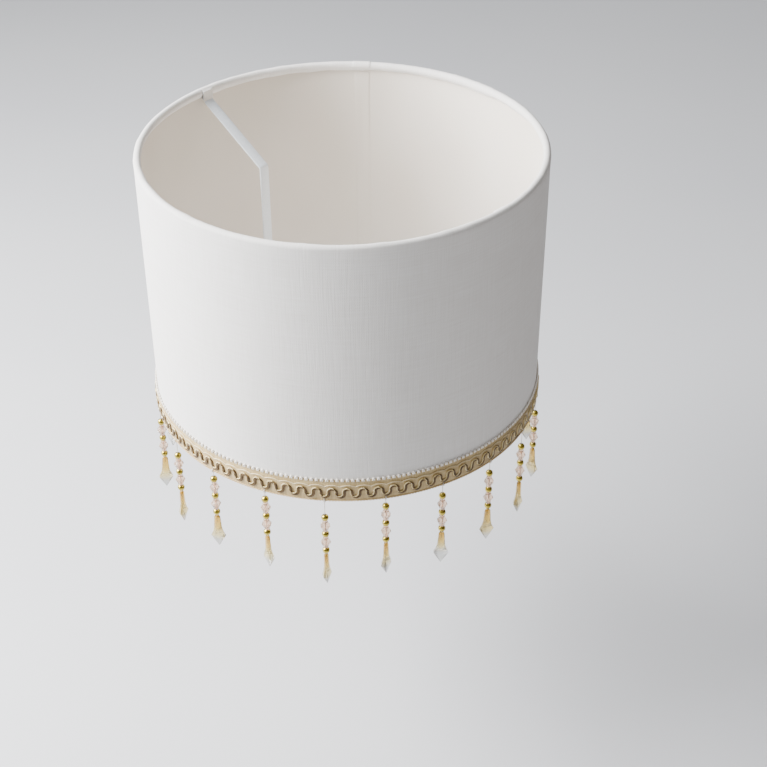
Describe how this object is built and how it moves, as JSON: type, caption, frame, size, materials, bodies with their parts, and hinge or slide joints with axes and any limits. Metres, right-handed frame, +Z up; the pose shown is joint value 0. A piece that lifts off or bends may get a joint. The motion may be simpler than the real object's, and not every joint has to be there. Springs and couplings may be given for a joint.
{
  "type": "lamp shade",
  "caption": "Cylindrical linen lamp shade on a dropped two-arm steel carrier, with a gimp braid and swinging bead strands round its lower rim.",
  "frame": {"origin": "centre of the fitter ring's bore, halfway through its thickness", "axes": "+Z up along the bore and the drum's axis, and the two carrier arms lie along +X and -X"},
  "size_m": [0.2574, 0.2574, 0.242],
  "materials": {
    "linen": "plain weave, off white",
    "liner_sheet": "matt",
    "coated_wire": "satin",
    "white_coated_steel": "satin",
    "cream_rayon": "corded",
    "pearl_rayon": "lustrous",
    "gold_lurex": "metallic thread",
    "gold_acrylic": "metallised",
    "clear_acrylic": "clear, cut",
    "amber_acrylic": "clear, amber at the top, cut",
    "nylon": "clear monofilament"
  },
  "bodies": {
    "drum": {"fabric_cover": "linen", "liner": "liner_sheet", "top_ring": "coated_wire", "bottom_ring": "coated_wire", "carrier_arm_right": "white_coated_steel", "carrier_arm_left": "white_coated_steel", "fitter_ring": "white_coated_steel", "braid_lip": "cream_rayon", "braid_tape": "cream_rayon", "braid_picot_edge": "pearl_rayon", "braid_wave_cord": "gold_lurex"},
    "strand_01": {"strand_01_beads": "gold_acrylic"},
    "drop_01": {"strand_01_drop": "amber_acrylic"},
    "strand_02": {"strand_02_beads": "gold_acrylic"},
    "drop_02": {"strand_02_drop": "amber_acrylic"},
    "strand_03": {"strand_03_beads": "gold_acrylic"},
    "drop_03": {"strand_03_drop": "amber_acrylic"},
    "strand_04": {"strand_04_beads": "gold_acrylic"},
    "drop_04": {"strand_04_drop": "amber_acrylic"},
    "strand_05": {"strand_05_beads": "gold_acrylic"},
    "drop_05": {"strand_05_drop": "amber_acrylic"},
    "strand_06": {"strand_06_beads": "gold_acrylic"},
    "drop_06": {"strand_06_drop": "amber_acrylic"},
    "strand_07": {"strand_07_beads": "gold_acrylic"},
    "drop_07": {"strand_07_drop": "amber_acrylic"},
    "strand_08": {"strand_08_beads": "gold_acrylic"},
    "drop_08": {"strand_08_drop": "amber_acrylic"},
    "strand_09": {"strand_09_beads": "gold_acrylic"},
    "drop_09": {"strand_09_drop": "amber_acrylic"},
    "strand_10": {"strand_10_beads": "gold_acrylic"},
    "drop_10": {"strand_10_drop": "amber_acrylic"},
    "strand_11": {"strand_11_beads": "gold_acrylic"},
    "drop_11": {"strand_11_drop": "amber_acrylic"},
    "strand_12": {"strand_12_beads": "gold_acrylic"},
    "drop_12": {"strand_12_drop": "amber_acrylic"},
    "strand_13": {"strand_13_beads": "gold_acrylic"},
    "drop_13": {"strand_13_drop": "amber_acrylic"},
    "strand_14": {"strand_14_beads": "gold_acrylic"},
    "drop_14": {"strand_14_drop": "amber_acrylic"},
    "strand_15": {"strand_15_beads": "gold_acrylic"},
    "drop_15": {"strand_15_drop": "amber_acrylic"},
    "strand_16": {"strand_16_beads": "gold_acrylic"},
    "drop_16": {"strand_16_drop": "amber_acrylic"},
    "strand_17": {"strand_17_beads": "gold_acrylic"},
    "drop_17": {"strand_17_drop": "amber_acrylic"},
    "strand_18": {"strand_18_beads": "gold_acrylic"},
    "drop_18": {"strand_18_drop": "amber_acrylic"},
    "strand_19": {"strand_19_beads": "gold_acrylic"},
    "drop_19": {"strand_19_drop": "amber_acrylic"},
    "strand_20": {"strand_20_beads": "gold_acrylic"},
    "drop_20": {"strand_20_drop": "amber_acrylic"}
  },
  "joints": [
    {"name": "strand_01_swing", "type": "hinge", "parent": "drum", "child": "strand_01", "pos_m": [-0.07219, -0.10272, -0.063], "axis": [-0.8181, 0.575, 0], "range_deg": [-60, 75]},
    {"name": "drop_01_swing", "type": "hinge", "parent": "strand_01", "child": "drop_01", "pos_m": [-0.07219, -0.10272, -0.10405], "axis": [0.7649, -0.6441, 0], "range_deg": [-45, 45]},
    {"name": "strand_02_swing", "type": "hinge", "parent": "drum", "child": "strand_02", "pos_m": [-0.03523, -0.12051, -0.063], "axis": [-0.9598, 0.2806, 0], "range_deg": [-60, 75]},
    {"name": "drop_02_swing", "type": "hinge", "parent": "strand_02", "child": "drop_02", "pos_m": [-0.03523, -0.12051, -0.10255], "axis": [-0.8319, -0.5549, 0], "range_deg": [-45, 45]},
    {"name": "strand_03_swing", "type": "hinge", "parent": "drum", "child": "strand_03", "pos_m": [0.00438, -0.12547, -0.063], "axis": [-0.9994, -0.0349, 0], "range_deg": [-60, 75]},
    {"name": "drop_03_swing", "type": "hinge", "parent": "strand_03", "child": "drop_03", "pos_m": [0.00438, -0.12547, -0.09755], "axis": [0.4848, -0.8746, 0], "range_deg": [-45, 45]},
    {"name": "strand_04_swing", "type": "hinge", "parent": "drum", "child": "strand_04", "pos_m": [0.04233, -0.1182, -0.063], "axis": [-0.9414, -0.3372, 0], "range_deg": [-60, 75]},
    {"name": "drop_04_swing", "type": "hinge", "parent": "strand_04", "child": "drop_04", "pos_m": [0.04233, -0.1182, -0.09725], "axis": [-0.1959, -0.9806, 0], "range_deg": [-45, 45]},
    {"name": "strand_05_swing", "type": "hinge", "parent": "drum", "child": "strand_05", "pos_m": [0.07538, -0.1004, -0.063], "axis": [-0.7997, -0.6004, 0], "range_deg": [-60, 75]},
    {"name": "drop_05_swing", "type": "hinge", "parent": "strand_05", "child": "drop_05", "pos_m": [0.07538, -0.1004, -0.10425], "axis": [0.8755, 0.4833, 0], "range_deg": [-45, 45]},
    {"name": "strand_06_swing", "type": "hinge", "parent": "drum", "child": "strand_06", "pos_m": [0.10131, -0.07415, -0.063], "axis": [-0.5906, -0.807, 0], "range_deg": [-60, 75]},
    {"name": "drop_06_swing", "type": "hinge", "parent": "strand_06", "child": "drop_06", "pos_m": [0.10131, -0.07415, -0.09725], "axis": [0.9711, 0.2385, 0], "range_deg": [-45, 45]},
    {"name": "strand_07_swing", "type": "hinge", "parent": "drum", "child": "strand_07", "pos_m": [0.11849, -0.0415, -0.063], "axis": [-0.3305, -0.9438, 0], "range_deg": [-60, 75]},
    {"name": "drop_07_swing", "type": "hinge", "parent": "strand_07", "child": "drop_07", "pos_m": [0.11849, -0.0415, -0.09955], "axis": [0.6909, -0.723, 0], "range_deg": [-45, 45]},
    {"name": "strand_08_swing", "type": "hinge", "parent": "drum", "child": "strand_08", "pos_m": [0.12546, -0.00461, -0.063], "axis": [-0.0367, -0.9993, 0], "range_deg": [-60, 75]},
    {"name": "drop_08_swing", "type": "hinge", "parent": "strand_08", "child": "drop_08", "pos_m": [0.12546, -0.00461, -0.10005], "axis": [0.898, -0.44, 0], "range_deg": [-45, 45]},
    {"name": "strand_09_swing", "type": "hinge", "parent": "drum", "child": "strand_09", "pos_m": [0.12093, 0.03376, -0.063], "axis": [0.2689, -0.9632, 0], "range_deg": [-60, 75]},
    {"name": "drop_09_swing", "type": "hinge", "parent": "strand_09", "child": "drop_09", "pos_m": [0.12093, 0.03376, -0.10355], "axis": [0.972, 0.2351, 0], "range_deg": [-45, 45]},
    {"name": "strand_10_swing", "type": "hinge", "parent": "drum", "child": "strand_10", "pos_m": [0.10421, 0.07001, -0.063], "axis": [0.5577, -0.8301, 0], "range_deg": [-60, 75]},
    {"name": "drop_10_swing", "type": "hinge", "parent": "strand_10", "child": "drop_10", "pos_m": [0.10421, 0.07001, -0.10505], "axis": [0.1064, 0.9943, 0], "range_deg": [-45, 45]},
    {"name": "strand_11_swing", "type": "hinge", "parent": "drum", "child": "strand_11", "pos_m": [0.07608, 0.09987, -0.063], "axis": [0.7955, -0.606, 0], "range_deg": [-60, 75]},
    {"name": "drop_11_swing", "type": "hinge", "parent": "strand_11", "child": "drop_11", "pos_m": [0.07608, 0.09987, -0.10405], "axis": [-0.7396, 0.673, 0], "range_deg": [-45, 45]},
    {"name": "strand_12_swing", "type": "hinge", "parent": "drum", "child": "strand_12", "pos_m": [0.03921, 0.11927, -0.063], "axis": [0.95, -0.3123, 0], "range_deg": [-60, 75]},
    {"name": "drop_12_swing", "type": "hinge", "parent": "strand_12", "child": "drop_12", "pos_m": [0.03921, 0.11927, -0.10255], "axis": [0.8499, 0.527, 0], "range_deg": [-45, 45]},
    {"name": "strand_13_swing", "type": "hinge", "parent": "drum", "child": "strand_13", "pos_m": [-0.00197, 0.12554, -0.063], "axis": [0.9999, 0.0157, 0], "range_deg": [-60, 75]},
    {"name": "drop_13_swing", "type": "hinge", "parent": "strand_13", "child": "drop_13", "pos_m": [-0.00197, 0.12554, -0.09755], "axis": [-0.4679, 0.8838, 0], "range_deg": [-45, 45]},
    {"name": "strand_14_swing", "type": "hinge", "parent": "drum", "child": "strand_14", "pos_m": [-0.04233, 0.1182, -0.063], "axis": [0.9414, 0.3372, 0], "range_deg": [-60, 75]},
    {"name": "drop_14_swing", "type": "hinge", "parent": "strand_14", "child": "drop_14", "pos_m": [-0.04233, 0.1182, -0.09725], "axis": [0.1959, 0.9806, 0], "range_deg": [-45, 45]},
    {"name": "strand_15_swing", "type": "hinge", "parent": "drum", "child": "strand_15", "pos_m": [-0.0773, 0.09893, -0.063], "axis": [0.788, 0.6157, 0], "range_deg": [-60, 75]},
    {"name": "drop_15_swing", "type": "hinge", "parent": "strand_15", "child": "drop_15", "pos_m": [-0.0773, 0.09893, -0.10425], "axis": [-0.866, -0.5, 0], "range_deg": [-45, 45]},
    {"name": "strand_16_swing", "type": "hinge", "parent": "drum", "child": "strand_16", "pos_m": [-0.10372, 0.07074, -0.063], "axis": [0.5635, 0.8262, 0], "range_deg": [-60, 75]},
    {"name": "drop_16_swing", "type": "hinge", "parent": "strand_16", "child": "drop_16", "pos_m": [-0.10372, 0.07074, -0.09725], "axis": [-0.9627, -0.2707, 0], "range_deg": [-45, 45]},
    {"name": "strand_17_swing", "type": "hinge", "parent": "drum", "child": "strand_17", "pos_m": [-0.12, 0.03692, -0.063], "axis": [0.294, 0.9558, 0], "range_deg": [-60, 75]},
    {"name": "drop_17_swing", "type": "hinge", "parent": "strand_17", "child": "drop_17", "pos_m": [-0.12, 0.03692, -0.09955], "axis": [-0.7181, 0.6959, 0], "range_deg": [-45, 45]},
    {"name": "strand_18_swing", "type": "hinge", "parent": "drum", "child": "strand_18", "pos_m": [-0.12555, 0.00044, -0.063], "axis": [0.0035, 1, 0], "range_deg": [-60, 75]},
    {"name": "drop_18_swing", "type": "hinge", "parent": "strand_18", "child": "drop_18", "pos_m": [-0.12555, 0.00044, -0.10005], "axis": [-0.9121, 0.4099, 0], "range_deg": [-45, 45]},
    {"name": "strand_19_swing", "type": "hinge", "parent": "drum", "child": "strand_19", "pos_m": [-0.12026, -0.03608, -0.063], "axis": [-0.2874, 0.9578, 0], "range_deg": [-60, 75]},
    {"name": "drop_19_swing", "type": "hinge", "parent": "strand_19", "child": "drop_19", "pos_m": [-0.12026, -0.03608, -0.10355], "axis": [-0.9673, -0.2538, 0], "range_deg": [-45, 45]},
    {"name": "strand_20_swing", "type": "hinge", "parent": "drum", "child": "strand_20", "pos_m": [-0.10421, -0.07001, -0.063], "axis": [-0.5577, 0.8301, 0], "range_deg": [-60, 75]},
    {"name": "drop_20_swing", "type": "hinge", "parent": "strand_20", "child": "drop_20", "pos_m": [-0.10421, -0.07001, -0.10505], "axis": [-0.1064, -0.9943, 0], "range_deg": [-45, 45]}
  ]
}
